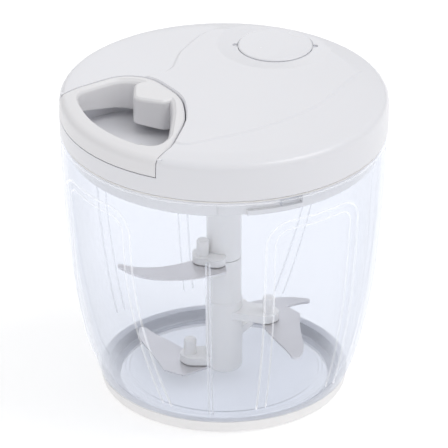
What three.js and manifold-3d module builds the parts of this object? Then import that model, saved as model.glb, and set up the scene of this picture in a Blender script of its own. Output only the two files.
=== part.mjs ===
import * as THREE from 'three';
import { mergeVertices } from 'three/addons/utils/BufferGeometryUtils.js';
import Module from 'manifold-3d';

// Hand-pulled food chopper. +Z up, the handle pulls out along -Y, millimetres.
// Driving dimensions
const LID_R = 67;            // lid outside radius
const LID_Z0 = 114.5;        // lower edge of the lid's side wall
const LID_TOP = 131.6;       // flat of the lid around the raised panel
const PANEL_RISE = 0.5;
const RIM_Z = 113.4;         // top of the bowl's rim
const FLOOR_Z = 3.8;         // top of the bowl's floor
const FACET_DEPTH = 0.85;    // depth of the arched facets in the bowl
const FACET_TOP = 103.5;
const FACET_BAND = 4.6;      // width of the slope round a facet
const SKIRT_R = 63.4;        // lid skirt that drops inside the bowl
const SKIRT_Z0 = 106.3;
const LUG_ANGLES = [350, 110, 230];
const TWIST = 22;            // degrees from locked to open
const LEDGE_Z = 122.4;       // lid wall left below the handle
const POCKET_Z = 115.6;      // floor of the handle pocket
const POCKET_GAP = 0.35;
const CORD_X = -14.05;       // line of the cord, tangent to its spool
const CORD_Z = 124.2;
const CORD_R = 0.7;
const CORD_TURNS = 3.3;
const SHAFT_R = 7.2;
const HUB_BORE = 2.07;       // running fit on the 2 mm axle and pin
const BLADE_T = 0.9;
const STEP = Math.PI / 180;

const wasm = await Module();
wasm.setup();
const { Manifold, Mesh } = wasm;

// Solid from points and triangles, turned right side out
function solidFrom(points, faces) {
  const tri = faces.slice();
  const make = () => new Manifold(new Mesh({
    numProp: 3, vertProperties: new Float32Array(points), triVerts: new Uint32Array(tri),
  }));
  const out = make();
  if (out.volume() > 0) return out;
  for (let i = 0; i < tri.length; i += 3) [tri[i], tri[i + 1]] = [tri[i + 1], tri[i]];
  return make();
}

function solid(geometry) {
  const g = geometry.clone();
  for (const name of Object.keys(g.attributes)) if (name !== 'position') g.deleteAttribute(name);
  const m = mergeVertices(g, 1e-4);
  const tri = [];
  const idx = m.index.array;
  for (let i = 0; i < idx.length; i += 3) {
    if (idx[i] !== idx[i + 1] && idx[i + 1] !== idx[i + 2] && idx[i] !== idx[i + 2]) {
      tri.push(idx[i], idx[i + 1], idx[i + 2]);
    }
  }
  return solidFrom(Array.from(m.attributes.position.array), tri);
}

function lathe(profile, segments = 64) {
  const g = new THREE.LatheGeometry(profile.map(([r, z]) => new THREE.Vector2(r, z)), segments);
  return solid(g.rotateX(Math.PI / 2));
}

// Full disc or ring between two heights
function disc(r, z0, z1, segments = 40, x = 0, y = 0) {
  return lathe([[0, z0], [r, z0], [r, z1], [0, z1]], segments).translate([x, y, 0]);
}

function ring(r0, r1, z0, z1, segments = 64) {
  return lathe([[r0, z0], [r1, z0], [r1, z1], [r0, z1], [r0, z0]], segments);
}

const ccw = (pts) => (THREE.ShapeUtils.area(pts.map(([x, y]) => new THREE.Vector2(x,
  y))) < 0 ? pts.slice().reverse() : pts);

// One closed solid through outlines that share a point count: sections are [points, z]
function stack(outlines) {
  const sections = outlines.map(([pts, z]) => [ccw(pts), z]);
  const n = sections[0][0].length;
  const pos = sections.flatMap(([pts, z]) => pts.flatMap(([x, y]) => [x, y, z]));
  const tri = [];
  for (let k = 0; k + 1 < sections.length; k++) {
    for (let i = 0; i < n; i++) {
      const [a, b] = [k * n + i, k * n + (i + 1) % n];
      tri.push(a, b, b + n, a, b + n, a + n);
    }
  }
  const cap = (k, up) => {
    const faces = THREE.ShapeUtils.triangulateShape(sections[k][0].map(([x, y]) => new THREE.Vector2(x,
      y)), []);
    for (const [i, j, l] of faces) tri.push(...(up ? [i, j, l] : [i, l, j]).map((v) => k * n + v));
  };
  cap(0, false);
  cap(sections.length - 1, true);
  return solidFrom(pos, tri);
}

const prism = (pts, z0, z1) => stack([[pts, z0], [pts, z1]]);

// Polygon with arcs at its corners: each corner is [x, y, radius], counter-clockwise
function rounded(corners, stepDeg = 10) {
  const out = [];
  const n = corners.length;
  for (let i = 0; i < n; i++) {
    const [x, y, r] = corners[i];
    const p = new THREE.Vector2(x, y);
    const a = new THREE.Vector2(...corners[(i + n - 1) % n].slice(0, 2)).sub(p).normalize();
    const b = new THREE.Vector2(...corners[(i + 1) % n].slice(0, 2)).sub(p).normalize();
    const half = Math.acos(THREE.MathUtils.clamp(a.dot(b), -1, 1)) / 2;
    const centre = a.clone().add(b).normalize().multiplyScalar(r / Math.sin(half)).add(p);
    const start = a.multiplyScalar(r / Math.tan(half)).add(p).sub(centre);
    const turn = Math.PI - 2 * half;
    const side = Math.sign(start.x * (p.y - centre.y) - start.y * (p.x - centre.x)) || 1;
    const steps = Math.max(1, Math.ceil(turn / (stepDeg * STEP)));
    for (let k = 0; k <= steps; k++) {
      const q = start.clone().rotateAround(new THREE.Vector2(), side * turn * k / steps).add(centre);
      out.push([q.x, q.y]);
    }
  }
  return out;
}

// Outline moved outward by d along its point normals
function offset(outline, d) {
  const pts = ccw(outline);
  const n = pts.length;
  return pts.map(([x, y], i) => {
    const [ax, ay] = pts[(i + n - 1) % n];
    const [bx, by] = pts[(i + 1) % n];
    const tx = bx - ax;
    const ty = by - ay;
    const l = Math.hypot(tx, ty);
    return [x + d * ty / l, y - d * tx / l];
  });
}

const arc = (r, a0, a1, n, x = 0, y = 0) => Array.from({ length: n + 1 }, (_, i) => {
  const a = (a0 + (a1 - a0) * i / n) * STEP;
  return [x + r * Math.cos(a), y + r * Math.sin(a)];
});

const sector = (r0, r1, a0, a1, z0, z1, n = 6) => prism([...arc(r1, a0, a1, n), ...arc(r0, a1, a0, n)],
  z0, z1);

const polar = (r, a) => [r * Math.cos(a * STEP), r * Math.sin(a * STEP)];

// Tube along a 3-D curve
function tube(points, radius, steps, sides = 8) {
  const shape = new THREE.Shape(arc(radius, 0, 360 - 360 / sides, sides - 1)
    .map(([x, y]) => new THREE.Vector2(x, y)));
  const path = new THREE.CatmullRomCurve3(points.map((p) => new THREE.Vector3(...p)));
  return solid(new THREE.ExtrudeGeometry(shape, { steps, extrudePath: path, bevelEnabled: false }));
}

const sphere = (r, x, y, z) => {
  const profile = Array.from({ length: 9 }, (_, i) => {
    const a = (i / 8 - 0.5) * Math.PI;
    return [i % 8 ? r * Math.cos(a) : 0, r * Math.sin(a)];
  });
  return lathe(profile, 14).translate([x, y, z]);
};

const group = new THREE.Group();
const look = {
  shell: [0xe6e7ec, 0.32, 0], clear: [0xdfe8f0, 0.05, 0], steel: [0xc3c3c8, 0.25, 1], soft: [0xdedcd8,
    0.7, 0],
  silicone: [0xeeeeea, 0.6, 0], hidden: [0xd8d4c8, 0.5, 0], cord: [0xe9e6dd, 0.9, 0], spring: [0x8f9296,
    0.35, 1],
};

function add(name, body, kind) {
  const raw = body.getMesh();
  const g = new THREE.BufferGeometry();
  g.setAttribute('position', new THREE.Float32BufferAttribute(Float32Array.from(raw.vertProperties), 3));
  g.setIndex(Array.from(raw.triVerts));
  g.computeVertexNormals();
  const [color, roughness, metalness] = look[kind];
  const mesh = new THREE.Mesh(g, new THREE.MeshStandardMaterial({ color, roughness, metalness }));
  mesh.name = name;
  group.add(mesh);
}

// Bowl: barrel-shaped clear wall, arched facets outside, slim ribs inside
const wall = [[45.6, 1.6], [46, 2], [47.1, 5.9], [51.2, 6], [51.9, 7.2], [54, 12.6], [56.8, 22.5],
  [59.3, 34], [61.5, 46], [63.1, 57], [64.8, 76], [66.2, 98], [66.7, RIM_Z - 0.6], [66.2, RIM_Z]];
const inner = [[64.3, RIM_Z], [64.2, 103], [62.6, 76], [60.8, 57], [59.2, 46], [57, 34], [54.5, 22.5],
  [51.7, 12.6], [48.9, 7.2], [43.6, FLOOR_Z + 0.2]];
const floorSteps = [[41, FLOOR_Z + 0.2], [40.6, FLOOR_Z + 0.7], [39.4, FLOOR_Z + 0.7], [39, FLOOR_Z]];
const SEG = 60;
const levels = [...wall.map(([, z]) => z), 66.5, 82, 87, 91, 94.5, 100, 102.4, 105].sort((a, b) => a - b);
const wallRadius = (z) => {
  const k = Math.max(1, wall.findIndex(([, w]) => w >= z));
  const [[r0, z0], [r1, z1]] = [wall[k - 1], wall[k]];
  return r0 + (r1 - r0) * (z - z0) / (z1 - z0);
};

// Half angle of the flat of a facet at a height: the two on the handle's line widen downward
const flatAngle = (flare, z) => 16.2 + flare * Math.max(0, (80 - z) / 72) ** 1.6;

// How deep the wall is pressed in, at an angle off a facet's middle
function inset(angle, z, flare) {
  const r = wallRadius(z);
  const edge = flatAngle(flare, z) * STEP * r + FACET_BAND;
  const corner = 11;
  const qx = Math.abs(angle) * STEP * r - edge + corner;
  const qy = z - FACET_TOP + corner;
  const outside = Math.hypot(Math.max(qx, 0), Math.max(qy, 0)) + Math.min(Math.max(qx, qy), 0) - corner;
  return FACET_DEPTH * THREE.MathUtils.smoothstep(-outside, 0, FACET_BAND)
    * THREE.MathUtils.smoothstep(z, 7.2, 12.6);
}

const rings = levels.map((z) => [0, 90, 180, 270].flatMap((middle) => {
  const flare = middle % 180 ? 12 : 0;
  const half = flatAngle(flare, z);
  const band = FACET_BAND / (wallRadius(z) * STEP);
  const side = [half / 2, half, half + band / 3, half + band * 2 / 3, half + band,
    (half + band + 45) / 2];
  return [...side.map((a) => -a).reverse(), 0, ...side, 45].map((a) => {
    const r = wallRadius(z) - (Math.abs(a) === 45 ? 0 : inset(a, z, flare));
    return polar(r, middle + a);
  });
}));
let bowl = stack(rings.map((ringAt, i) => [ringAt, levels[i]]))
  .subtract(lathe([[0, FLOOR_Z], ...floorSteps.slice().reverse(), ...inner.slice().reverse(),
    [64.3, RIM_Z + 1], [0, RIM_Z + 1]], SEG));
const insideVolume = lathe([[0, FLOOR_Z - 0.5], [44, FLOOR_Z - 0.5],
  ...inner.slice().reverse().map(([r, z]) => [r + 0.6, z]), [0, RIM_Z]], SEG);
const ribVoid = lathe([[0, 0], [42, 0], ...inner.slice().reverse().map(([r, z]) => [r - 0.9, z]),
  [0, RIM_Z]], SEG);
for (const a of [49, 139, 229, 319]) {
  bowl = bowl.add(Manifold.intersection(insideVolume.subtract(ribVoid),
    prism([[30, -0.8], [70, -0.8], [70, 0.8], [30, 0.8]], 7, 85).rotate([0, 0, a])));
}
for (const a of LUG_ANGLES) bowl = bowl.add(sector(62.2, 64.9, a - 4, a + 4, 109.2, 111.6, 3));
bowl = bowl.subtract(disc(2.05, 2.4, 8, 20));
add('bowl', bowl, 'clear');

// Non-slip ring under the bowl, and the steel pin the shaft turns on
add('base_ring', lathe([[43, 0], [48.6, 0], [49.7, 0.5], [50.5, 1.8], [51, 5.6], [47.5, 5.6],
  [46.4, 1.3], [43, 1.3], [43, 0]], SEG), 'soft');
add('pivot_pin', lathe([[0, 2.6], [2, 2.6], [2, 15.4], [1.2, 16.2], [0, 16.2]], 20), 'steel');

// Seal that lies on the bowl's rim
add('seal_ring', lathe([[63.8, 113.65], [66.1, 113.65], [66.3, 113.95], [66.1, 114.25], [63.8, 114.25],
  [63.8, 113.65]], SEG), 'silicone');

// Lid: outside envelope shared by the shell and the handle
const envelope = (rise) => lathe([[0, LID_Z0], [66.3, LID_Z0], [66.8, LID_Z0 + 0.6], [LID_R, 120],
  [66.9, 127.4],
  ...Array.from({ length: 6 }, (_, i) => [63.6 + 3.3 * Math.cos(i * 17 * STEP),
    127.6 + 3.3 * Math.sin(i * 17 * STEP)]),
  [59.5, LID_TOP], [56, LID_TOP + rise], [0, LID_TOP + rise]], 72);
const pocket = rounded([[-35.6, -82, 4], [41, -74, 4], [30.2, -47, 22], [13, -27.6, 40], [-4, -17.6, 26],
  [-35.6, -17.6, 16]]);
const raised = rounded([[31, -46, 6], [37.5, -8, 70], [34, 22, 40], [14, 61.5, 8], [-36, 60, 12],
  [-52, 30, 26], [-38, 5, 18],
  [-25.4, -8, 12], [-28, -20, 3], [0, -30, 10]]);
const capCentre = [-22.6, 41.6];
const CAP_R = 15.4;
const DISH_R = 24.2;
let shell = envelope(0).add(Manifold.intersection(envelope(PANEL_RISE),
  stack([[offset(raised, 1.2), LID_TOP - 1], [offset(raised, 1.2), LID_TOP - 0.05],
    [offset(raised, -0.4), LID_TOP + PANEL_RISE + 0.2]])));
shell = shell.subtract(lathe([[0, LID_Z0 - 1], [64.6, LID_Z0 - 1], [64.6, 127.2], [62.4, 129.2],
  [0, 129.4]], 72));

// Shallow dish round the snap-in cover, and the opening the cover fills
const dishFloor = LID_TOP - 0.5;
shell = shell.subtract(lathe([[0, dishFloor], [CAP_R + 1, dishFloor],
  [DISH_R, LID_TOP + PANEL_RISE + 0.02],
  [DISH_R + 1, LID_TOP + 3], [0, LID_TOP + 3]], 48).translate([...capCentre, 0]));
shell = shell.subtract(disc(CAP_R - 1.6, 120, 140, 40, ...capCentre));
shell = shell.subtract(disc(CAP_R + 0.3, dishFloor - 0.7, 140, 48, ...capCentre));
const notchAngle = 53;
for (const s of [0, 180]) {
  const [nx, ny] = polar(CAP_R + 0.8, notchAngle + s);
  shell = shell.subtract(disc(1.5, dishFloor - 0.7, 140, 14, capCentre[0] + nx, capCentre[1] + ny));
}

// Pocket the handle lies in
const pocketWall = Manifold.intersection(prism(offset(pocket, POCKET_GAP + 1.6), 114.45, 130.5),
  disc(LID_R - 0.8, 114.45, 131, 72));
const pocketDeep = Manifold.intersection(prism(offset(pocket, POCKET_GAP), POCKET_Z, 150),
  disc(59.8, POCKET_Z, LEDGE_Z + 0.1, 72));
const pocketHigh = stack([[offset(pocket, POCKET_GAP), LEDGE_Z],
  [offset(pocket, POCKET_GAP), LID_TOP - 0.6],
  [offset(pocket, POCKET_GAP + 0.15), LID_TOP - 0.1], [offset(pocket, POCKET_GAP + 0.7), LID_TOP + 0.55],
  [offset(pocket, POCKET_GAP + 0.7), 150]]);
shell = shell.add(pocketWall).subtract(pocketDeep).subtract(pocketHigh);

// Bosses: screw towers, centre arbor, cord guide seat
const screws = [[52, 62], [52, 180], [51, 322]].map(([r, a]) => polar(r, a));
for (const [x, y] of screws) shell = shell.add(disc(3.4, 114.1, 129.8, 24, x, y))
  .subtract(disc(1.5, 113, 124.5, 16, x, y));
shell = shell.add(disc(4.1, 121.4, 129.8, 32)).subtract(disc(2.15, 110, 129, 24));
const cordWay = (r, y0, y1) => disc(r, y0, y1, 20).rotate([90, 0, 0]).translate([CORD_X, 0, CORD_Z]);
shell = shell.subtract(cordWay(2.7, 12, 20));
add('lid_shell', shell, 'shell');

// Snap-in cover with its clip rim
const cover = lathe([[0, dishFloor - 0.4], [CAP_R - 2.1, dishFloor - 0.4], [CAP_R - 2.1, 127.6],
  [CAP_R - 1.5, 128.2], [CAP_R - 1.5, 128.8],
  [CAP_R - 2, 129.2], [CAP_R - 2, dishFloor - 0.4], [CAP_R, dishFloor - 0.4], [CAP_R,
    dishFloor + 0.3], [CAP_R - 0.5, dishFloor + 0.6],
  [0, dishFloor + 0.9]], 36);
add('cover_cap', cover.translate([...capCentre, 0]), 'shell');

// Handle: leaf-shaped ring, flush with the lid, with a boss for the cord
const grip = offset(pocket, -0.05);
let handle = stack([[grip, 110], [grip, LID_TOP - 0.9], [offset(grip, -0.12), LID_TOP - 0.4],
  [offset(grip, -0.5), LID_TOP + 0.1],
  [offset(grip, -1.1), LID_TOP + 0.4], [offset(grip, -1.6), LID_TOP + 0.5]]);
handle = Manifold.intersection(handle, envelope(PANEL_RISE));
const holeArc = arc(59.2, 247.5, 290.5, 8);
const hole = [...holeArc, ...rounded([[26.6, -54.2, 4.5], [22.5, -43.2, 14], [6, -30, 20],
  [-5, -22.8, 16], [-31.2, -22.8, 12],
  [-31.2, -51, 7], [-22.7, -54.7, 1]], 12).slice(0, -3)];
const boss = rounded([[-24.5, -12, 3], [-25, -27.2, 3.4], [-14.5, -34.8, 4.2], [-4.4, -27, 3.4],
  [-4.4, -12, 3]], 15);
const bossBody = stack([[boss, 100], [boss, LID_TOP - 0.9], [offset(boss, -0.3), LID_TOP - 0.2],
  [offset(boss, -1), LID_TOP + 0.4],
  [offset(boss, -1.6), LID_TOP + 0.9]]);
const holeCut = stack([[hole, 100], [hole, LID_TOP - 2.2], [offset(hole, 0.3), LID_TOP - 1],
  [offset(hole, 0.9), LID_TOP - 0.2],
  [offset(hole, 1.9), LID_TOP + 0.35], [offset(hole, 2.4), LID_TOP + 0.9]]);
handle = handle.subtract(holeCut.subtract(bossBody));
const underside = prism([[-90, 100], [-14, 100], [-14, 117], [-47, 122.8], [-90, 122.8]], -60, 60)
  .rotate([90, 0, 90]);
handle = handle.subtract(underside);
handle = handle.subtract(cordWay(1.3, 12, 27)).subtract(disc(2.9, 110, 127, 24, CORD_X, -27.6));
add('pull_handle', handle, 'shell');

// Cord: coil on the spool, the run out to the handle, and the knotted end in the boss
const coil = [];
const coilSteps = Math.round(CORD_TURNS * 16);
const coilTop = 125.35;
for (let i = 0; i <= coilSteps; i++) {
  const a = Math.PI + (i - coilSteps) * 2 * Math.PI / 16;
  coil.push([-CORD_X * Math.cos(a), -CORD_X * Math.sin(a), coilTop - 5 * (1 - i / coilSteps)]);
}
add('cord_coil', tube(coil, CORD_R, coilSteps, 6), 'cord');
add('cord_run', tube([[CORD_X, -7.3, coilTop - 0.1], [CORD_X, -9.4, coilTop - 0.4],
  [CORD_X, -11.5, CORD_Z + 0.3],
  [CORD_X, -14.8, CORD_Z], [CORD_X, -18.2, CORD_Z]], CORD_R, 14, 8), 'cord');
add('cord_knot', sphere(2.2, CORD_X, -27.6, CORD_Z).add(disc(CORD_R, 18.6, 27, 12).rotate([90, 0, 0])
  .translate([CORD_X, 0, CORD_Z])),
  'cord');
add('cord_guide', lathe([[1.15, 14.8], [3.4, 14.8], [3.4, 15.4], [2.45, 15.4], [2.45, 16.9],
  [1.45, 16.9], [1.15, 16.5], [1.15, 14.8]], 16)
  .rotate([90, 0, 0]).translate([CORD_X, 0, CORD_Z]), 'hidden');

// Spool with the spring chamber open on top, its spiral spring, and the fixed axle
const spool = lathe([[HUB_BORE, 117.5], [5.4, 117.5], [5.4, 118.6], [16.6, 118.6], [16.6, 119.3],
  [13, 119.6], [13, 126.1], [16.6, 126.4],
  [16.6, 127.1], [11.8, 127.1], [11.8, 120.8], [HUB_BORE, 120.8], [HUB_BORE, 117.5]], 40);
add('spool', spool, 'hidden');
const turns = 5.5;
const spiralN = 99;
const spiral = [];
for (const [sign, shift] of [[1, 0], [-1, 0.3]]) {
  const side = [];
  for (let i = 0; i <= spiralN; i++) {
    const a = 2 * Math.PI * turns * i / spiralN;
    const r = 4.5 + shift + (11.1 - 4.5) * i / spiralN;
    side.push([r * Math.cos(a), r * Math.sin(a)]);
  }
  spiral.push(...(sign > 0 ? side : side.reverse()));
}
add('mainspring', prism(spiral.reverse(), 121.4, 126.4), 'spring');
add('axle', lathe([[0, 113.2], [1.6, 113.2], [2, 113.7], [2, 128.2], [1.6, 128.7], [0, 128.7]], 24),
  'steel');

// One-way wrap spring between spool and drive hub
const wrap = [];
for (let i = 0; i <= 36; i++) wrap.push([6.05 * Math.cos(i * 24 * STEP), 6.05 * Math.sin(i * 24 * STEP),
  115.85 + 2.1 * i / 36]);
add('clutch_spring', tube(wrap, 0.38, 36, 5), 'spring');

// Drive hub: flange above the lid base, cup with three inward dogs below it
let hub = lathe([[HUB_BORE, 112.4], [6.9, 112.4], [6.9, 107], [8.5, 107], [8.5, 114.1], [11, 114.1],
  [11, 115.1], [5.4, 115.1], [5.4, 117.2],
  [HUB_BORE, 117.2], [HUB_BORE, 112.4]], 32);
for (let k = 0; k < 3; k++) hub = hub.add(sector(4.2, 7.5, 120 * k - 9, 120 * k + 9, 107.4, 112.6, 3));
add('drive_hub', hub, 'hidden');

// Lid base: floor plate, skirt and bayonet channels
let base = lathe([[9, 112.2], [61, 112.2], [61, SKIRT_Z0], [SKIRT_R - 0.4, SKIRT_Z0],
  [SKIRT_R, SKIRT_Z0 + 0.5], [SKIRT_R, 113.8],
  [9, 113.8], [9, 112.2]], 64);
base = base.add(ring(9, 10.6, 109.8, 112.4, 32)).subtract(disc(9, 100, 120, 32));
for (const a of LUG_ANGLES) {
  const entry = a - TWIST;
  base = base.subtract(sector(61.9, 70, entry - 5.5, a + 4.6, 108.6, 112.1, 8));
  base = base.subtract(sector(61.9, 70, entry - 5.5, entry + 5.5, 100, 112.1, 3));
}
for (const [x, y] of screws) base = base.subtract(disc(1.8, 105, 120, 16, x, y));
add('lid_base', base, 'shell');
screws.forEach(([x, y], i) => {
  const screw = lathe([[0, 110.5], [2.2, 110.5], [3.1, 111.2], [3.1, 111.9], [1.35, 111.9], [1.35, 122],
    [0.5, 123.6], [0, 123.6]], 14)
    .subtract(prism([[-0.5, -2], [0.5, -2], [0.5, 2], [-0.5, 2]], 110, 111))
      .subtract(prism([[-2, -0.5], [2, -0.5], [2, 0.5], [-2, 0.5]], 110, 111));
  add(`lid_screw_${i + 1}`, screw.translate([x, y, 0]), 'steel');
});

// Blades: crescent plates, convex edge bevelled. Each is
// [peg radius, peg angle, tip angle, tip radius, height, arm thickness, how much straighter]
const blades = [[10.8, 271, 247, 45.2, 56, 3, 0], [19.2, 39, 3, 46.6, 28.6, 3.2, 6.5],
  [14.3, 115, 97, 46.6, 17.4, 3, 3], [14, 235, 195, 45.6, 6.4, 3.2, 6]];
const bladeLine = new THREE.Path();
bladeLine.moveTo(-9, -4);
bladeLine.lineTo(-1, -4.2);
bladeLine.bezierCurveTo(12, 4.5, 25, 6.5, 33.6, -0.4);
bladeLine.quadraticCurveTo(35.4, -0.8, 35, 1.5);
bladeLine.bezierCurveTo(24, 21, 2, 16.5, -9, 10);
const flat = bladeLine.getPoints(9).map((p) => [p.x, p.y]);
if (Math.hypot(flat[0][0] - flat.at(-1)[0], flat[0][1] - flat.at(-1)[1]) < 1e-6) flat.pop();
const bevelled = flat.map(([x, y]) => {
  const onEdge = THREE.MathUtils.smoothstep(y - 0.32 * (x + 9) * (x > 20 ? (35 - x) / 15 : 1), 4,
    7) * (x > -8.5 ? 1 : 0);
  return [x - 0.9 * onEdge * (x / 35), y - 1.7 * onEdge];
});

function bladeAt([pr, pa, ta, tr, z, , straighter]) {
  const [px, py] = polar(pr, pa);
  const [tx, ty] = polar(tr, ta);
  const turn = Math.atan2(ty - py, tx - px) / STEP;
  const bend = (line) => line.map(([x, y]) => [x, y - straighter * Math.max(0, x * (35 - x)) / 306]);
  const top = bend(flat);
  return stack([[bend(bevelled), z - BLADE_T / 2], [top, z - 0.05], [top, z + BLADE_T / 2]])
    .rotate([0, 0, turn]).translate([px, py, 0]);
}

// Arm plate from the shaft out to the peg, with a staked head under the blade
function armAt([pr, pa, ta, tr, z, thick], extra) {
  const [px, py] = polar(pr, pa);
  const z0 = z + BLADE_T / 2 + 0.3;
  const plate = rounded([[-3, -5.6, 2], [pr + 1, -5.6, 4], [pr + 5.6, 0, 4.5], [pr + 1, 5.6, 4],
    [-3, 5.6, 2]], 12);
  let arm = prism(plate, z0, z0 + thick).rotate([0, 0, pa]);
  for (const [dr, da, r] of extra) arm = arm.add(disc(r, z0, z0 + thick, 28, ...polar(dr, pa + da)));
  const peg = lathe([[0, z - BLADE_T / 2 - 0.95], [3.1, z - BLADE_T / 2 - 0.95],
    [3.4, z - BLADE_T / 2 - 0.25], [2.2, z - BLADE_T / 2 - 0.25],
    [2.2, z0 + 0.1], [2.6, z0 + 0.1], [2.6, z0 + thick + 6.2], [2.1, z0 + thick + 6.8], [0,
      z0 + thick + 6.8]], 14);
  return arm.add(peg.translate([px, py, 0]));
}

blades.forEach((b, i) => {
  const [px, py] = polar(b[0], b[1]);
  add(`blade_${i + 1}`, bladeAt(b).subtract(disc(2.4, b[4] - 5, b[4] + 5, 24, px, py))
    .subtract(disc(SHAFT_R + 0.7, b[4] - 5, b[4] + 5, 40)),
    'steel');
});

// Shaft in two lengths, joined by a flatted spigot; three slim dogs on top
const split = 55.9;
let low = lathe([[HUB_BORE, 4.6], [6.6, 4.6], [7.6, 5.8], [7.6, 36.3], [SHAFT_R, 36.8], [SHAFT_R, split],
  [4.3, split], [4.3, 46],
  [0, 46], [0, 17], [HUB_BORE, 17], [HUB_BORE, 4.6]], 32);
low = low.add(Manifold.intersection(ring(3.4, 4.6, 46, split, 32),
  prism([[2.9, -5], [6, -5], [6, 5], [2.9, 5]], 45.8, split)));
low = low.add(armAt(blades[1], []).subtract(disc(5, 0, split, 16)))
  .add(armAt(blades[2], []).subtract(disc(5, 0, split, 16)))
  .add(armAt(blades[3], []).subtract(disc(5, 0, split, 16)));
add('shaft_lower', low, 'shell');
let up = lathe([[0, 46.4], [4, 46.4], [4, split + 0.3], [SHAFT_R, split + 0.3], [SHAFT_R, 106],
  [6.8, 106.5], [3.2, 106.5], [3.2, 111.6],
  [2.7, 112], [0, 112]], 32);
up = up.subtract(prism([[2.6, -5], [6, -5], [6, 5], [2.6, 5]], 46, split + 0.29));
for (let k = 0; k < 3; k++) up = up.add(sector(2.6, 6.4, 120 * k - 45, 120 * k - 33, 106.2, 111.6, 2));
up = up.add(armAt(blades[0], [[9.4, 32, 4.4]]).subtract(disc(5, 0, 100, 16)));
add('shaft_upper', up, 'shell');

export default group;
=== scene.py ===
"""Looks of a pull-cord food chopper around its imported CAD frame.

Plastics, clear bowl, steel, cord, floor and light.
"""

import math

import bmesh
import bpy
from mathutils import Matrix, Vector
from mathutils.bvhtree import BVHTree


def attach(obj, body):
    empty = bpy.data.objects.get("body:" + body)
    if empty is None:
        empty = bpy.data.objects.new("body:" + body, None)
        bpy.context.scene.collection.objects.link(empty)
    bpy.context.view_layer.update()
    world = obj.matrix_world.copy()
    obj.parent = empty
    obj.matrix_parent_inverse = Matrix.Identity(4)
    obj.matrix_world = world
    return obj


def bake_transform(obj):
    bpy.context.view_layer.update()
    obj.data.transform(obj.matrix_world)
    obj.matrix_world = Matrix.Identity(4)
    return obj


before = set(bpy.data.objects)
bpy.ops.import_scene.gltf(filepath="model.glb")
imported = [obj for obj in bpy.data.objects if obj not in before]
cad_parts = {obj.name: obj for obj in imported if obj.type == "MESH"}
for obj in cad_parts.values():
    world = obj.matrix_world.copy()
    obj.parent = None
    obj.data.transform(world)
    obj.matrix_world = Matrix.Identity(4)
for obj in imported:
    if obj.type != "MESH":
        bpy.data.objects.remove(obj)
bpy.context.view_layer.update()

MM = 0.001

# ---------------------------------------------------------------- camera
# Seen from the right of the handle and a little above, from far away with a long lens.
AIM = Vector((0, 0, 0.0703))
AZIMUTH = math.radians(55)
ELEVATION = math.radians(27.4)
DISTANCE = 2.46
LENS = 482
SENSOR = 36
CLIP_END = 50

camera_data = bpy.data.cameras.new("camera")
camera_data.sensor_width = SENSOR
camera_data.lens = LENS
camera_data.clip_end = CLIP_END
camera = bpy.data.objects.new("camera", camera_data)
bpy.context.scene.collection.objects.link(camera)
away = Vector((
    math.sin(AZIMUTH) * math.cos(ELEVATION),
    -math.cos(AZIMUTH) * math.cos(ELEVATION),
    math.sin(ELEVATION),
))
camera.location = AIM + away * DISTANCE
camera.rotation_euler = away.to_track_quat("Z", "Y").to_euler()
bpy.context.scene.camera = camera


# ---------------------------------------------------------------- node helpers
class Tree:
    """A new material's nodes, made and wired in one call each."""

    def __init__(self, name):
        self.material = bpy.data.materials.new(name)
        self.material.use_nodes = True
        self.tree = self.material.node_tree
        self.tree.nodes.clear()
        self.out = self.tree.nodes.new("ShaderNodeOutputMaterial")
        self.place = self.add("ShaderNodeTexCoord").outputs["Object"]

    def add(self, kind, inputs=(), **settings):
        node = self.tree.nodes.new(kind)
        for key, value in settings.items():
            setattr(node, key, value)
        for key, value in dict(inputs).items():
            if isinstance(value, bpy.types.NodeSocket):
                self.tree.links.new(value, node.inputs[key])
            else:
                node.inputs[key].default_value = value
        return node

    def noise(self, scale, detail=2.0, stretch=None):
        """Noise of about 1/scale metres, drawn out where stretch is below 1."""
        place = self.place
        if stretch:
            place = self.add(
                "ShaderNodeMapping", {"Vector": place, "Scale": stretch}
            ).outputs[0]
        return self.add(
            "ShaderNodeTexNoise", {"Vector": place, "Scale": scale, "Detail": detail}
        ).outputs["Fac"]

    def span(self, value, low, high, start=0.3, end=0.7):
        """value from start to end, brought to low to high."""
        return self.add(
            "ShaderNodeMapRange",
            {
                "Value": value,
                "From Min": start,
                "From Max": end,
                "To Min": low,
                "To Max": high,
            },
        ).outputs[0]

    def tint(self, share, first, second):
        """A colour between first and second."""
        node = self.add("ShaderNodeMix", data_type="RGBA")
        self.tree.links.new(share, node.inputs[0])
        node.inputs[6].default_value = (*first, 1)
        node.inputs[7].default_value = (*second, 1)
        return node.outputs[2]

    def bump(self, height, depth, strength=1.0, normal=None):
        inputs = {"Height": height, "Distance": depth, "Strength": strength}
        if normal is not None:
            inputs["Normal"] = normal
        return self.add("ShaderNodeBump", inputs).outputs[0]

    def soft_edge(self, radius):
        """The normal, rounded off along edges."""
        return self.add("ShaderNodeBevel", {"Radius": radius}, samples=4).outputs[0]

    def finish(self, shader):
        self.tree.links.new(shader, self.out.inputs["Surface"])
        return self.material


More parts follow.
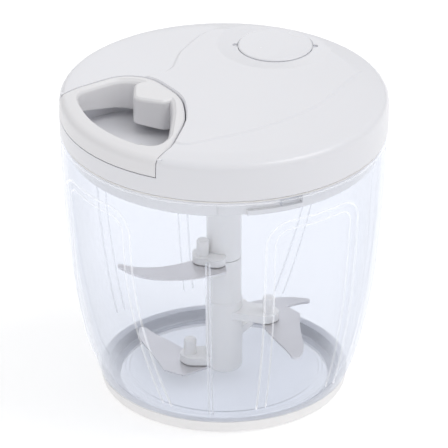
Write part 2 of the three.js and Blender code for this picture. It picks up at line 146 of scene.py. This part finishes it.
def plastic(name, light, dark, rough, grain, depth, coat=0.0, subsurface=0.0, edge=0.3):
    """Moulded plastic: faint cloudiness, a fine grain from the mould and uneven gloss.

    depth and edge, the rounding of its edges, are in mm.
    """
    t = Tree(name)
    colour = t.tint(t.span(t.noise(22, 1), 0, 1, 0.1, 0.9), dark, light)
    fine = t.noise(grain, 2)
    broad = t.noise(160, 2)
    rounded = t.soft_edge(edge * MM) if edge else None
    normal = t.bump(fine, depth * MM, normal=rounded)
    normal = t.bump(broad, depth * MM * 2, 0.4, normal)
    surface = t.add(
        "ShaderNodeBsdfPrincipled",
        {
            "Base Color": colour,
            "Roughness": t.span(t.noise(60, 1), rough - 0.03, rough + 0.03, 0.1, 0.9),
            "Normal": normal,
            "IOR": 1.49,
            "Coat Weight": coat,
            "Coat Roughness": 0.12,
            "Subsurface Weight": subsurface,
            "Subsurface Radius": (0.004, 0.0035, 0.003),
            "Subsurface Scale": 0.5,
        },
    )
    return t.finish(surface.outputs[0])


def clear_plastic(name, least, most, through, facing, grazing, painted_glow):
    """Clear moulded polymer: see-through, with gloss, flow waves and fine scuffs.

    A cool veil thickens from least to most edge on. The plastic also gives off a painted
    glow of the given strength: painted light, as it is no lamp.
    """
    t = Tree(name)
    waves = t.bump(t.noise(38, 1), 0.05 * MM, 0.4)
    weight = t.add("ShaderNodeLayerWeight", {"Blend": 0.5, "Normal": waves})
    edge_on = weight.outputs["Facing"]
    veil = t.add(
        "ShaderNodeMapRange",
        {
            "Value": edge_on,
            "From Min": 0.35,
            "From Max": 1.0,
            "To Min": least,
            "To Max": most,
        },
        interpolation_type="SMOOTHSTEP",
    ).outputs[0]
    scuffs = t.span(t.noise(420, 5), 0.0, 0.02, 0.5, 0.8)
    share = t.add("ShaderNodeMath", {0: veil, 1: scuffs}, operation="ADD").outputs[0]
    clear = t.add("ShaderNodeBsdfTransparent", {"Color": (*through, 1)})
    surface = t.add(
        "ShaderNodeBsdfPrincipled",
        {
            "Base Color": t.tint(edge_on, facing, grazing),
            "Roughness": t.span(t.noise(300, 4), 0.04, 0.12),
            "Normal": waves,
            "IOR": 1.5,
            # Painted light: an emission that makes the plastic glow.
            "Emission Color": (1, 1, 1, 1),
            "Emission Strength": painted_glow,
        },
    )
    mix = t.add(
        "ShaderNodeMixShader", {0: share, 1: clear.outputs[0], 2: surface.outputs[0]}
    )
    return t.finish(mix.outputs[0])


def metal(name, light, dark, rough, stretch, scale=900):
    """Steel with fine drawn-out marks from rolling and grinding."""
    t = Tree(name)
    lines = t.noise(scale, 3, stretch)
    colour = t.tint(t.span(t.noise(60, 3), 0, 1), dark, light)
    surface = t.add(
        "ShaderNodeBsdfPrincipled",
        {
            "Base Color": colour,
            "Metallic": 1.0,
            "Roughness": t.span(lines, rough - 0.07, rough + 0.09),
            "Normal": t.bump(lines, 0.004 * MM, 0.6, t.soft_edge(0.12 * MM)),
        },
    )
    return t.finish(surface.outputs[0])


def rubber(name, light, dark, rough):
    """Soft moulded rubber or silicone with a powdery surface."""
    t = Tree(name)
    colour = t.tint(t.span(t.noise(120, 4), 0, 1), dark, light)
    surface = t.add(
        "ShaderNodeBsdfPrincipled",
        {
            "Base Color": colour,
            "Roughness": t.span(t.noise(700, 3), rough - 0.08, rough + 0.08),
            "Normal": t.bump(t.noise(1800, 3), 0.02 * MM, 0.8, t.soft_edge(0.2 * MM)),
            "Sheen Weight": 0.15,
        },
    )
    return t.finish(surface.outputs[0])


def braid(name):
    """Thin braided cord: crossing strands as a fine check, darker in the gaps between strands as
    painted shade, with a little fuzz.
    """
    t = Tree(name)
    waves = [
        t.add(
            "ShaderNodeTexWave",
            {
                "Vector": t.add(
                    "ShaderNodeMapping",
                    {"Vector": t.place, "Rotation": (0, 0, turn)},
                ).outputs[0],
                "Scale": 260,
                "Distortion": 0.6,
            },
        ).outputs["Fac"]
        for turn in (0.7, -0.7)
    ]
    height = t.add(
        "ShaderNodeMath", {0: waves[0], 1: waves[1]}, operation="MAXIMUM"
    ).outputs[0]
    # The colour is darker where the strands sink: painted shade in the gaps between them.
    surface = t.add(
        "ShaderNodeBsdfPrincipled",
        {
            "Base Color": t.tint(height, (0.5, 0.49, 0.47), (0.82, 0.81, 0.79)),
            "Roughness": t.span(t.noise(2500, 3), 0.65, 0.85),
            "Normal": t.bump(height, 0.08 * MM, 0.9),
            "Sheen Weight": 0.3,
        },
    )
    return t.finish(surface.outputs[0])


# ---------------------------------------------------------------- materials
lid_white = plastic(
    "lid_white", (0.73, 0.733, 0.77), (0.715, 0.718, 0.752),
    rough=0.3, grain=600, depth=0.0006, coat=0.25, subsurface=0.06, edge=0,
)
handle_white = plastic(
    "handle_white", (0.74, 0.735, 0.755), (0.715, 0.712, 0.73),
    rough=0.33, grain=600, depth=0.0015, coat=0.15, subsurface=0.06,
)
cap_white = plastic(
    "cap_white", (0.725, 0.728, 0.763), (0.71, 0.713, 0.747),
    rough=0.26, grain=600, depth=0.0006, coat=0.3, subsurface=0.06, edge=0,
)
shaft_white = plastic(
    "shaft_white", (0.93, 0.92, 0.905), (0.90, 0.89, 0.875),
    rough=0.36, grain=2200, depth=0.004, coat=0.05, subsurface=0.08,
)
inner_white = plastic(
    "inner_white", (0.93, 0.915, 0.90), (0.90, 0.885, 0.87),
    rough=0.42, grain=1800, depth=0.01,
)
soft_base = rubber("soft_base", (0.88, 0.87, 0.87), (0.85, 0.84, 0.84), 0.62)
silicone = rubber("silicone", (0.88, 0.865, 0.85), (0.84, 0.825, 0.81), 0.5)
# The bowl gives off a faint painted glow, painted light that lightens it and its shaded inside.
bowl_clear = clear_plastic(
    "bowl_clear", least=0.02, most=0.5, through=(0.951, 0.960, 0.980),
    facing=(0.95, 0.96, 0.98), grazing=(0.80, 0.83, 0.90), painted_glow=0.08,
)
# The beads glow with painted light: painted highlight lines along the bowl's rounded edges.
bead_clear_painted_highlight = clear_plastic(
    "bead_clear_painted_highlight", least=0.2, most=0.8, through=(0.99, 0.992, 0.996),
    facing=(0.97, 0.975, 0.99), grazing=(0.86, 0.88, 0.93), painted_glow=0.25,
)
blade_steel = metal(
    "blade_steel", (0.77, 0.755, 0.765), (0.71, 0.695, 0.705), 0.36, (1, 1, 0.2), scale=1400
)
bright_steel = metal(
    "bright_steel", (0.72, 0.72, 0.72), (0.65, 0.65, 0.65), 0.22, (1, 1, 0.1)
)
spring_steel = metal(
    "spring_steel", (0.40, 0.39, 0.38), (0.30, 0.30, 0.30), 0.34, (0.1, 0.1, 1)
)
cord_braid = braid("cord_braid")

LOOKS = {
    "bowl": bowl_clear,
    "base_ring": soft_base,
    "pivot_pin": bright_steel,
    "seal_ring": silicone,
    "lid_shell": lid_white,
    "lid_base": inner_white,
    "cover_cap": cap_white,
    "pull_handle": handle_white,
    "cord_coil": cord_braid,
    "cord_run": cord_braid,
    "cord_knot": cord_braid,
    "cord_guide": bright_steel,
    "spool": inner_white,
    "mainspring": spring_steel,
    "axle": bright_steel,
    "clutch_spring": spring_steel,
    "drive_hub": inner_white,
    "shaft_lower": shaft_white,
    "shaft_upper": shaft_white,
}
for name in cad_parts:
    if name.startswith("lid_screw"):
        LOOKS[name] = bright_steel
    elif name.startswith("blade_"):
        LOOKS[name] = blade_steel


# ---------------------------------------------------------------- smooth shading of the CAD nodes
# Angles in degrees. A node is shaded smooth up to SMOOTH_ANGLE, or its own wider angle.
SMOOTH_ANGLE = 20
SMOOTH_WIDE = {
    "bowl": 30,
    "shaft_lower": 30,
    "shaft_upper": 30,
    "cord_knot": 35,
    "cord_coil": 65,
    "clutch_spring": 75,
}
# On the lid's top, within LID_TOP_RADIUS, edges over CREASE stay crisp, so low ridges show.
CREASE = 5.5
LID_TOP_RADIUS = 57 * MM
WELD_DISTANCE = 1e-6


def smoothing_nodes(degrees, crisp_within=0.0):
    """Shades smooth wherever faces meet at less than this angle.

    Closer to the object's axis than crisp_within, the angle is CREASE.
    """
    tree = bpy.data.node_groups.new(f"smooth_{degrees}", "GeometryNodeTree")
    tree.interface.new_socket("Geometry", in_out="INPUT", socket_type="NodeSocketGeometry")
    tree.interface.new_socket("Geometry", in_out="OUTPUT", socket_type="NodeSocketGeometry")
    add = tree.nodes.new
    start, end = add("NodeGroupInput"), add("NodeGroupOutput")
    forget = add("GeometryNodeRemoveAttribute")
    forget.inputs["Name"].default_value = "custom_normal"
    faces = add("GeometryNodeSetShadeSmooth")
    edges = add("GeometryNodeSetShadeSmooth")
    edges.domain = "EDGE"
    edges.inputs["Shade Smooth"].default_value = False
    angle = add("GeometryNodeInputMeshEdgeAngle")
    sharp = add("FunctionNodeCompare")
    sharp.data_type = "FLOAT"
    sharp.operation = "GREATER_THAN"
    sharp.inputs["B"].default_value = math.radians(degrees)
    position = add("GeometryNodeInputPosition")
    flatten = add("ShaderNodeVectorMath")
    flatten.operation = "MULTIPLY"
    flatten.inputs[1].default_value = (1, 1, 0)
    reach = add("ShaderNodeVectorMath")
    reach.operation = "LENGTH"
    near = add("FunctionNodeCompare")
    near.data_type = "FLOAT"
    near.operation = "LESS_THAN"
    near.inputs["B"].default_value = crisp_within
    crease = add("FunctionNodeCompare")
    crease.data_type = "FLOAT"
    crease.operation = "GREATER_THAN"
    crease.inputs["B"].default_value = math.radians(CREASE)
    both = add("FunctionNodeBooleanMath")
    both.operation = "AND"
    either = add("FunctionNodeBooleanMath")
    either.operation = "OR"
    for a, b in (
        (position.outputs[0], flatten.inputs[0]),
        (flatten.outputs[0], reach.inputs[0]),
        (reach.outputs["Value"], near.inputs["A"]),
        (angle.outputs["Unsigned Angle"], crease.inputs["A"]),
        (near.outputs[0], both.inputs[0]),
        (crease.outputs[0], both.inputs[1]),
        (sharp.outputs[0], either.inputs[0]),
        (both.outputs[0], either.inputs[1]),
        (start.outputs[0], forget.inputs["Geometry"]),
        (forget.outputs[0], faces.inputs["Geometry"]),
        (faces.outputs[0], edges.inputs["Geometry"]),
        (angle.outputs["Unsigned Angle"], sharp.inputs["A"]),
        (either.outputs[0], edges.inputs["Selection"]),
        (edges.outputs[0], end.inputs[0]),
    ):
        tree.links.new(a, b)
    return tree


smooth = {
    degrees: smoothing_nodes(degrees)
    for degrees in {SMOOTH_ANGLE, *SMOOTH_WIDE.values()}
}
lid_top = smoothing_nodes(SMOOTH_ANGLE, LID_TOP_RADIUS)
for name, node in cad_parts.items():
    weld = node.modifiers.new("weld", "WELD")
    weld.merge_threshold = WELD_DISTANCE
    by_angle = node.modifiers.new("smooth_by_angle", "NODES")
    if name == "lid_shell":
        by_angle.node_group = lid_top
    else:
        by_angle.node_group = smooth[SMOOTH_WIDE.get(name, SMOOTH_ANGLE)]
    node.data.materials.clear()
    node.data.materials.append(LOOKS[name])


# ---------------------------------------------------------------- rounded edges of the bowl
# Fine beads where the moulding is rounded over, in a clear material whose painted glow paints
# the highlight they catch: on the outlines of the facets, the front rib and the rim. They lie on
# the CAD wall, found by casting rays.
# Lengths in mm, angles in degrees.
FACETS = ((0, 0), (90, 12), (180, 0), (270, 12))  # middle, and how much it widens downward
FACET_TOP = 103.5
FACET_BAND = 4.6
FACET_CORNER = 11
FACET_LOW = 12.6
FACET_HALF_ANGLE = 16.2
FLARE_FROM = 80
FLARE_HEIGHT = 72
FLARE_POWER = 1.6
SIDE_STEPS = 24
CORNER_STEPS = 8
TOP_STEPS = 6
OUTER_INWARD, OUTER_RADIUS = 0.2, 0.42
INNER_INWARD, INNER_RADIUS = FACET_BAND - 0.3, 0.34
FRONT_RIB = 319
RIB_HALF = 0.72
RIB_LOW, RIB_LENGTH, RIB_STEPS, RIB_RADIUS = 8, 76, 30, 0.38
RIM_HEIGHT, RIM_STEPS, RIM_RADIUS = 112.9, 120, 0.3
RAY_OUTSIDE, RAY_INSIDE = 0.1, 0.02  # metres from the axis

bowl_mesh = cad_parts["bowl"].data
bowl_tree = BVHTree.FromPolygons(
    [v.co.copy() for v in bowl_mesh.vertices],
    [tuple(f.vertices) for f in bowl_mesh.polygons],
)


def heading(angle):
    return Vector((math.cos(math.radians(angle)), math.sin(math.radians(angle)), 0))


def outside_wall(angle, z):
    """The point of the bowl's outside at an angle and a height."""
    way = heading(angle)
    return bowl_tree.ray_cast(way * RAY_OUTSIDE + Vector((0, 0, z * MM)), -way)[0]


def inside_wall(angle, z, shift):
    """The point of the bowl's inside at a height, a little to one side of an angle."""
    way = heading(angle)
    side = Vector((-way.y, way.x, 0)) * shift * MM
    start = side + way * RAY_INSIDE + Vector((0, 0, z * MM))
    return bowl_tree.ray_cast(start, way)[0]


def flat_half_angle(z, flare):
    down = max(0.0, (FLARE_FROM - z) / FLARE_HEIGHT)
    return FACET_HALF_ANGLE + flare * down**FLARE_POWER


def facet_line(middle, flare, inward):
    """Points along a facet's arched outline, moved inward by so many mm."""
    top, corner = FACET_TOP - inward, FACET_CORNER - inward
    corner_z = top - corner
    half = [
        (0, FACET_LOW + (corner_z - FACET_LOW) * i / SIDE_STEPS) for i in range(SIDE_STEPS + 1)
    ]
    for i in range(1, CORNER_STEPS + 1):
        turn = math.radians(i * 90 / CORNER_STEPS)
        half.append((corner * (math.cos(turn) - 1), corner_z + corner * math.sin(turn)))
    right = []
    for back, z in half:
        reach = outside_wall(middle, z).xy.length / MM
        per_mm = math.degrees(1 / reach)
        angle = flat_half_angle(z, flare) + (FACET_BAND - inward + back) * per_mm
        right.append((angle, z))
    last, top_z = right[-1]
    across = [(last * (1 - i / TOP_STEPS), top_z) for i in range(1, TOP_STEPS)]
    left = [(-angle, z) for angle, z in reversed(right)]
    across += [(0, top_z)] + [(-angle, z) for angle, z in reversed(across)]
    return [outside_wall(middle + angle, z) for angle, z in right + across + left]


def bead(mesh, points, radius, closed=False, sides=8):
    """A tube along points, added to a bmesh."""
    rings = []
    count = len(points)
    for i, point in enumerate(points):
        before = points[i - 1] if i or closed else point
        after = points[(i + 1) % count] if i + 1 < count or closed else point
        along = (after - before).normalized()
        out = Vector((point.x, point.y, 0)).normalized()
        across = along.cross(out).normalized()
        out = across.cross(along).normalized()
        rings.append([
            mesh.verts.new(point + (across * math.cos(a) + out * math.sin(a)) * radius * MM)
            for a in (math.tau * k / sides for k in range(sides))
        ])
    for i in range(count if closed else count - 1):
        one, two = rings[i], rings[(i + 1) % count]
        for k in range(sides):
            n = (k + 1) % sides
            mesh.faces.new((one[k], one[n], two[n], two[k]))
    if not closed:
        mesh.faces.new(rings[0][::-1])
        mesh.faces.new(rings[-1])


def bowl_beads():
    mesh = bmesh.new()
    for middle, flare in FACETS:
        bead(mesh, facet_line(middle, flare, OUTER_INWARD), OUTER_RADIUS)
        bead(mesh, facet_line(middle, flare, INNER_INWARD), INNER_RADIUS)
    rib_heights = [RIB_LOW + RIB_LENGTH * i / RIB_STEPS for i in range(RIB_STEPS + 1)]
    for shift in (-RIB_HALF, RIB_HALF):
        bead(mesh, [inside_wall(FRONT_RIB, z, shift) for z in rib_heights], RIB_RADIUS)
    rim = [outside_wall(i * 360 / RIM_STEPS, RIM_HEIGHT) for i in range(RIM_STEPS)]
    bead(mesh, rim, RIM_RADIUS, closed=True)
    bmesh.ops.recalc_face_normals(mesh, faces=mesh.faces)
    data = bpy.data.meshes.new("bowl_beads")
    mesh.to_mesh(data)
    mesh.free()
    data.polygons.foreach_set("use_smooth", [True] * len(data.polygons))
    data.materials.append(bead_clear_painted_highlight)
    beads = bpy.data.objects.new("bowl_beads", data)
    bpy.context.scene.collection.objects.link(beads)
    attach(beads, "bowl")


bowl_beads()


# ---------------------------------------------------------------- the cord between lid and handle
# The short length behind the handle, at rest; on the real chopper it stretches out as the handle
# is pulled.
CORD_X = -14.05 * MM
CORD_Z = 124.2 * MM
CORD_RADIUS = 0.7 * MM
CORD_START = -16.6 * MM
CORD_END = -25.4 * MM
CORD_RINGS = 60
CORD_SIDES = 12


def pull_cord():
    vertices, faces = [], []
    for i in range(CORD_RINGS + 1):
        y = CORD_START + (CORD_END - CORD_START) * i / CORD_RINGS
        for k in range(CORD_SIDES):
            a = math.tau * k / CORD_SIDES
            vertices.append((
                CORD_X + CORD_RADIUS * math.cos(a),
                y,
                CORD_Z + CORD_RADIUS * math.sin(a),
            ))
    for i in range(CORD_RINGS):
        for k in range(CORD_SIDES):
            n = (k + 1) % CORD_SIDES
            low, high = i * CORD_SIDES, (i + 1) * CORD_SIDES
            faces.append((low + k, low + n, high + n, high + k))
    last = CORD_RINGS * CORD_SIDES
    faces.append(tuple(range(CORD_SIDES))[::-1])
    faces.append(tuple(last + k for k in range(CORD_SIDES)))
    mesh = bpy.data.meshes.new("pull_cord")
    mesh.from_pydata(vertices, [], faces)
    mesh.polygons.foreach_set("use_smooth", [True] * (len(faces) - 2) + [False] * 2)
    mesh.materials.append(cord_braid)
    cord = bpy.data.objects.new("pull_cord", mesh)
    bpy.context.scene.collection.objects.link(cord)
    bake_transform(cord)


pull_cord()


# ---------------------------------------------------------------- floor and light
FLOOR_HALF = 8
FLOOR_Z = -0.2 * MM
LIGHTS_AIM = Vector((0, 0, 0.07))
HORIZON, OVERHEAD = 0.62, 1.15  # strength of the world's light


def pale_floor():
    t = Tree("pale_floor")
    surface = t.add(
        "ShaderNodeBsdfPrincipled",
        {
            "Base Color": (0.62, 0.62, 0.625, 1),
            "Roughness": 0.9,
            "Specular IOR Level": 0.1,
            "Emission Color": (1, 1, 1, 1),
            "Emission Strength": 0.46,
        },
    )
    material = t.finish(surface.outputs[0])
    mesh = bpy.data.meshes.new("floor")
    half = FLOOR_HALF
    corners = [(-half, -half, 0), (half, -half, 0), (half, half, 0), (-half, half, 0)]
    mesh.from_pydata(corners, [], [(0, 1, 2, 3)])
    mesh.materials.append(material)
    floor = bpy.data.objects.new("floor", mesh)
    floor.location.z = FLOOR_Z
    bpy.context.scene.collection.objects.link(floor)


def softbox(name, place, size, power):
    data = bpy.data.lights.new(name, "AREA")
    data.shape = "DISK"
    data.size = size
    data.energy = power
    lamp = bpy.data.objects.new(name, data)
    lamp.location = place
    toward = Vector(place) - LIGHTS_AIM
    lamp.rotation_euler = toward.to_track_quat("Z", "Y").to_euler()
    bpy.context.scene.collection.objects.link(lamp)


def studio_world():
    """Bright overhead, greyer toward the horizon."""
    world = bpy.data.worlds.new("studio")
    bpy.context.scene.world = world
    world.use_nodes = True
    nodes, links = world.node_tree.nodes, world.node_tree.links
    nodes.clear()
    place = nodes.new("ShaderNodeTexCoord")
    split = nodes.new("ShaderNodeSeparateXYZ")
    ramp = nodes.new("ShaderNodeMapRange")
    ramp.interpolation_type = "SMOOTHSTEP"
    ramp.inputs["From Min"].default_value = -0.1
    ramp.inputs["From Max"].default_value = 0.75
    ramp.inputs["To Min"].default_value = HORIZON
    ramp.inputs["To Max"].default_value = OVERHEAD
    background = nodes.new("ShaderNodeBackground")
    out = nodes.new("ShaderNodeOutputWorld")
    links.new(place.outputs["Generated"], split.inputs[0])
    links.new(split.outputs["Z"], ramp.inputs["Value"])
    links.new(ramp.outputs[0], background.inputs["Strength"])
    links.new(background.outputs[0], out.inputs[0])


pale_floor()
studio_world()
softbox("key", (0.9, 1.0, 2.4), size=1.6, power=17)
softbox("fill", (1.5, -1.9, 1.2), size=1.6, power=1.5)
softbox("rake", (-1.7, 0.8, 0.8), size=0.9, power=0.8)
bpy.context.scene.view_settings.view_transform = "Standard"
